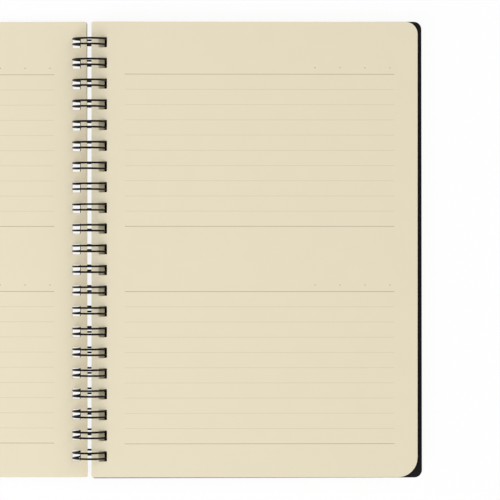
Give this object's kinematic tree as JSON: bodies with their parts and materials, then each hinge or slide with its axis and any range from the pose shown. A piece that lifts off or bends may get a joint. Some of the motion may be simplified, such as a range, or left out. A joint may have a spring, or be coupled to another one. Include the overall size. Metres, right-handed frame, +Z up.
{
  "type": "open spiral notebook",
  "caption": "Wire-bound notebook lying open: two punched page blocks and two cover boards that turn about one continuous twin-loop wire.",
  "frame": {"origin": "on the table, midway along the binding, straight below the axis of the loops", "axes": "+Z up, +Y along the binding towards the head of the pages, +X across the right-hand pages"},
  "size_m": [0.3068, 0.2104, 0.0159],
  "materials": {
    "cover_board": "black coated board, matt",
    "paper": "uncoated cream paper",
    "wire": "nylon-coated steel wire, dark, semi-gloss"
  },
  "bodies": {
    "binding": {"back_cover": "cover_board", "wire_binding": "wire"},
    "right_block": {"right_pages": "paper"},
    "front_board": {"front_cover": "cover_board"},
    "left_block": {"left_pages": "paper"}
  },
  "joints": [
    {"name": "front_cover_turn", "type": "hinge", "parent": "binding", "child": "front_board", "pos_m": [0, 0, 0.00795], "axis": [0, 1, 0], "range_deg": [0, 178]},
    {"name": "left_pages_turn", "type": "hinge", "parent": "front_board", "child": "left_block", "pos_m": [0, 0, 0.00795], "axis": [0, 1, 0], "range_deg": [0, 178]},
    {"name": "right_pages_turn", "type": "hinge", "parent": "binding", "child": "right_block", "pos_m": [0, 0, 0.00795], "axis": [0, 1, 0], "range_deg": [-178, 0]}
  ]
}
